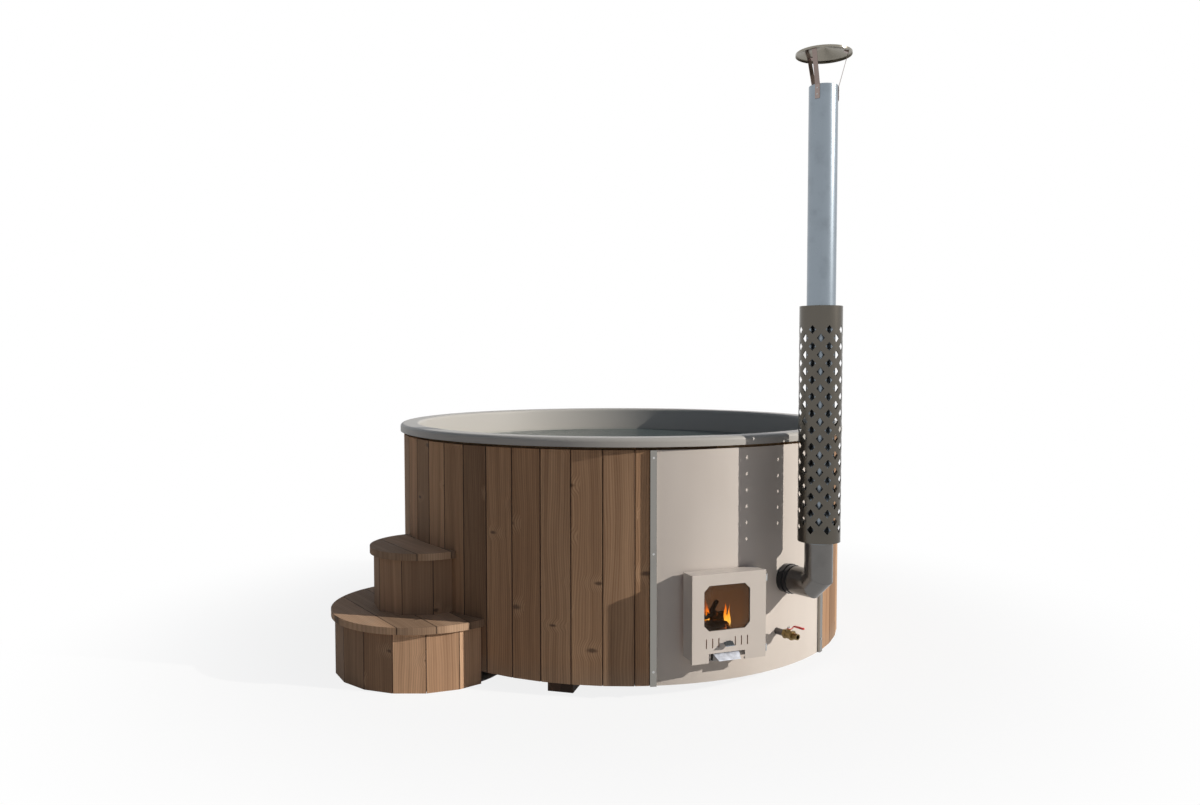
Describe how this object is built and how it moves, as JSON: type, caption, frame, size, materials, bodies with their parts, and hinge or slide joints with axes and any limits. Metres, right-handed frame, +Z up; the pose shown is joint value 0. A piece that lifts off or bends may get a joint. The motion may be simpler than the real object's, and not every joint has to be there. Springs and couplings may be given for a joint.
{
  "type": "wood-fired hot tub",
  "caption": "Round board-clad tub with a moulded liner, a built-in wood-fired heater with a glazed door, a guarded flue stack and a half-round stair.",
  "frame": {"origin": "tub axis at ground level, on the underside of the centre skid", "axes": "+Z up the tub axis; the firebox door faces -Y"},
  "size_m": [2.5594, 2.3965, 2.62],
  "materials": {
    "clad_wood": "heat-treated spruce boards, planed, oiled brown",
    "frame_wood": "plain sawn softwood",
    "gelcoat": "glass-fibre laminate with a grey gelcoat",
    "panel_paint": "satin warm-grey sheet steel",
    "polished_steel": "mirror-polished stainless steel",
    "dull_steel": "plain stainless steel",
    "furnace_steel": "sooty stainless steel",
    "grate_iron": "cast, sooty",
    "brass": "turned brass, weathered",
    "door_glass": "heat-proof glass, lightly smoked",
    "seal_rope": "woven glass-fibre rope",
    "lever_red": "red vinyl-dipped steel"
  },
  "bodies": {
    "tub": {"liner": "gelcoat", "cladding_left": "clad_wood", "cladding_back": "clad_wood", "cladding_right": "clad_wood", "ripped_boards": "clad_wood", "cover_panel": "panel_paint", "panel_backing": "frame_wood", "edge_trims": "polished_steel", "trim_screws": "polished_steel", "skids": "clad_wood", "base_deck": "frame_wood", "floor_bearers": "frame_wood", "lower_hoop": "frame_wood", "middle_hoop": "frame_wood", "upper_hoop": "frame_wood", "posts": "frame_wood", "furnace_shell": "furnace_steel", "furnace_feet": "furnace_steel", "fire_grate": "grate_iron", "ash_rails": "furnace_steel", "mouth_neck": "furnace_steel", "mouth_casing": "panel_paint", "water_pipes": "polished_steel", "pipe_grilles": "polished_steel", "flue_outlet": "polished_steel", "flue_stub": "polished_steel", "flue_elbow": "polished_steel", "flue_pipe": "polished_steel", "heat_guard": "polished_steel", "guard_spacers": "polished_steel", "rain_cap": "polished_steel", "cap_straps": "polished_steel", "cap_rivets": "polished_steel", "floor_drain": "polished_steel", "drain_pipe": "dull_steel", "valve_body": "brass", "hose_tail": "brass", "hinge_brackets": "dull_steel", "stair_frame": "frame_wood", "lower_risers": "clad_wood", "upper_risers": "clad_wood", "lower_treads": "clad_wood", "upper_treads": "clad_wood"},
    "door": {"door_panel": "panel_paint", "door_glass": "door_glass", "glass_frame": "dull_steel", "glass_screws": "dull_steel", "door_seal": "seal_rope", "slide_guides": "dull_steel", "hinge_knuckles": "dull_steel"},
    "air_slide": {"air_slide": "dull_steel", "air_knob": "polished_steel"},
    "ash_pan": {"ash_pan": "dull_steel", "ash_pan_tab": "dull_steel"},
    "drain_valve": {"valve_stem": "dull_steel", "valve_ball": "polished_steel", "valve_lever": "lever_red", "lever_nut": "dull_steel"}
  },
  "joints": [
    {"name": "door_hinge", "type": "hinge", "parent": "tub", "child": "door", "pos_m": [0.172, -1.163, 0.34], "axis": [0, 0, 1], "range_deg": [0, 110]},
    {"name": "air_slide_travel", "type": "slide", "parent": "door", "child": "air_slide", "axis": [1, 0, 0], "range_m": [0, 0.013]},
    {"name": "ash_pan_pull", "type": "slide", "parent": "tub", "child": "ash_pan", "axis": [0, -1, 0], "range_m": [0, 0.3]},
    {"name": "drain_quarter_turn", "type": "hinge", "parent": "tub", "child": "drain_valve", "pos_m": [0.31657, -1.10765, 0.217], "axis": [0, 0, -1], "range_deg": [0, 90]}
  ]
}
